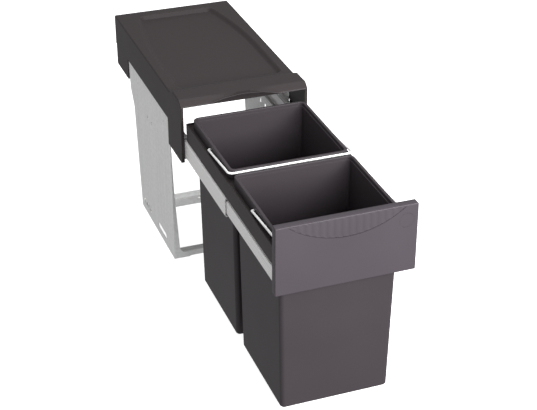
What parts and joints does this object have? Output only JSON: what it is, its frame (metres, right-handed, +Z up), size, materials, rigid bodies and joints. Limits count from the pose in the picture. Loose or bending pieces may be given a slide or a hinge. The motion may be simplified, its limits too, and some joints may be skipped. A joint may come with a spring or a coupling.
{
  "type": "pull out bin frame",
  "caption": "Under-sink pull-out frame with a covered steel stand, ball-bearing slides, hanging waste bins with wire bails and a low front panel",
  "frame": {"origin": "on the floor, midway between the two floor screw holes of the crossbars", "axes": "+Y to the rear of the cabinet, +X to the right seen from the front, +Z up; the drawer slides out along -Y and is drawn pulled out"},
  "size_m": [0.254, 0.9805, 0.399],
  "materials": {
    "side_plate": "galvanised sheet, satin",
    "crossbar": "galvanised sheet, satin",
    "cover": "moulded, fine matt grain",
    "slide_rail": "bright zinc plated, rolled",
    "ball_cage": "pressed strip, greased",
    "ball": "polished, greased",
    "fastener": "zinc plated",
    "buffer": "soft moulded",
    "carrier": "moulded, fine matt grain",
    "bin": "moulded, satin",
    "bail_wire": "white coated wire",
    "panel": "moulded, fine matt grain",
    "grip": "moulded, ribbed, matt"
  },
  "bodies": {
    "frame": {"left_side_plate": "side_plate", "right_side_plate": "side_plate", "front_crossbar": "crossbar", "rear_crossbar": "crossbar", "cover": "cover", "left_cabinet_rail": "slide_rail", "right_cabinet_rail": "slide_rail", "rail_rivets": "fastener", "rail_end_buffers": "buffer"},
    "middle_rails": {"left_middle_rail": "slide_rail", "right_middle_rail": "slide_rail"},
    "outer_cages": {"left_outer_ball_cage": "ball_cage", "right_outer_ball_cage": "ball_cage", "outer_balls": "ball"},
    "inner_cages": {"left_inner_ball_cage": "ball_cage", "right_inner_ball_cage": "ball_cage", "inner_balls": "ball"},
    "drawer": {"bin_carrier": "carrier", "left_drawer_rail": "slide_rail", "right_drawer_rail": "slide_rail", "drawer_rail_screws": "fastener", "front_panel": "panel", "grip_insert": "grip", "panel_screws": "fastener"},
    "rear_bin": {"rear_bin": "bin"},
    "front_bin": {"front_bin": "bin"},
    "rear_bail": {"rear_bail": "bail_wire"},
    "front_bail": {"front_bail": "bail_wire"}
  },
  "joints": [
    {"name": "drawer_slide", "type": "slide", "parent": "frame", "child": "drawer", "axis": [0, -1, 0], "range_m": [-0.482, 0]},
    {"name": "middle_slide", "type": "slide", "parent": "frame", "child": "middle_rails", "axis": [0, -1, 0], "range_m": [-0.241, 0]},
    {"name": "outer_cage_slide", "type": "slide", "parent": "frame", "child": "outer_cages", "axis": [0, -1, 0], "range_m": [-0.1205, 0]},
    {"name": "inner_cage_slide", "type": "slide", "parent": "frame", "child": "inner_cages", "axis": [0, -1, 0], "range_m": [-0.3615, 0]},
    {"name": "rear_bin_lift", "type": "slide", "parent": "drawer", "child": "rear_bin", "axis": [0, 0, 1], "range_m": [0, 0.4]},
    {"name": "rear_bail_hinge", "type": "hinge", "parent": "rear_bin", "child": "rear_bail", "pos_m": [0, -0.341, 0.359], "axis": [-1, 0, 0], "range_deg": [0, 165]},
    {"name": "front_bin_lift", "type": "slide", "parent": "drawer", "child": "front_bin", "axis": [0, 0, 1], "range_m": [0, 0.4]},
    {"name": "front_bail_hinge", "type": "hinge", "parent": "front_bin", "child": "front_bail", "pos_m": [0, -0.573, 0.359], "axis": [-1, 0, 0], "range_deg": [0, 160]}
  ],
  "couplings": [
    {"joint": "middle_slide", "follows": "drawer_slide", "ratio": 0.5},
    {"joint": "outer_cage_slide", "follows": "drawer_slide", "ratio": 0.25},
    {"joint": "inner_cage_slide", "follows": "drawer_slide", "ratio": 0.75}
  ]
}
